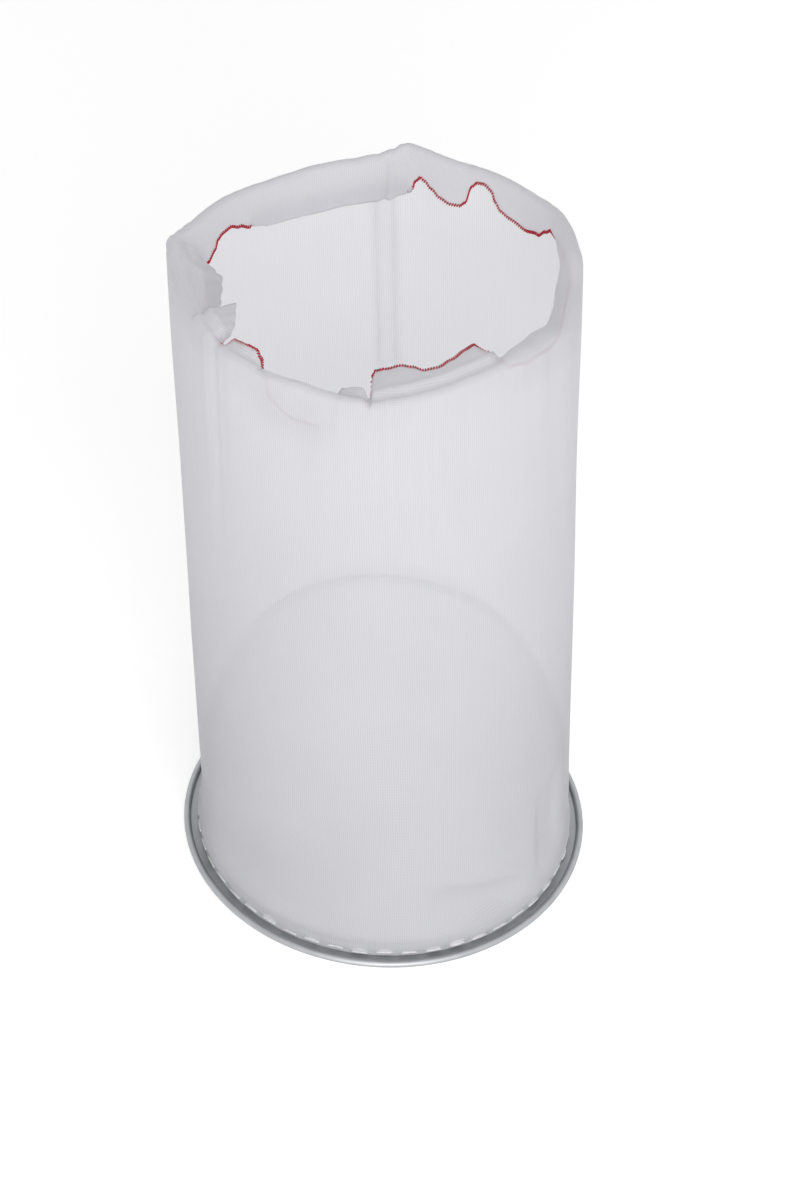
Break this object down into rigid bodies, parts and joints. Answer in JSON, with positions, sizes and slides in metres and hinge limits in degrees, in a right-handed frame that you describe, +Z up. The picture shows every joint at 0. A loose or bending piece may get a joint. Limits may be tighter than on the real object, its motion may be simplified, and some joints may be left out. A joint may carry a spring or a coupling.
{
  "type": "filter bag element with steel ring",
  "caption": "White mesh filter sleeve, open at the top with a turned-in collar, over a closed mesh pocket, both sewn to a round steel flange ring.",
  "frame": {"origin": "centre of the ring's underside, where the element stands", "axes": "+Z up along the ring's axis to the sleeve's open mouth; +Y to the sleeve's lengthwise seam at the back; the soft sleeve leans a little to -X"},
  "size_m": [0.19, 0.18, 0.314],
  "materials": {
    "galvanised_steel": "dull galvanised",
    "white_mesh": "fine woven mesh",
    "pocket_mesh": "fine woven mesh",
    "white_tape": "woven tape",
    "white_thread": "twisted thread",
    "red_thread": "twisted thread"
  },
  "bodies": {
    "root": {"flange_ring": "galvanised_steel", "filter_sleeve": "white_mesh", "rim_overlock": "red_thread", "side_seam_lap": "white_mesh", "side_seam_stitches": "white_thread", "hem_binding": "white_tape", "hem_stitches": "white_thread", "filter_pocket": "pocket_mesh", "pocket_seam_allowance": "pocket_mesh", "pocket_seam_stitches": "white_thread"}
  },
  "joints": []
}
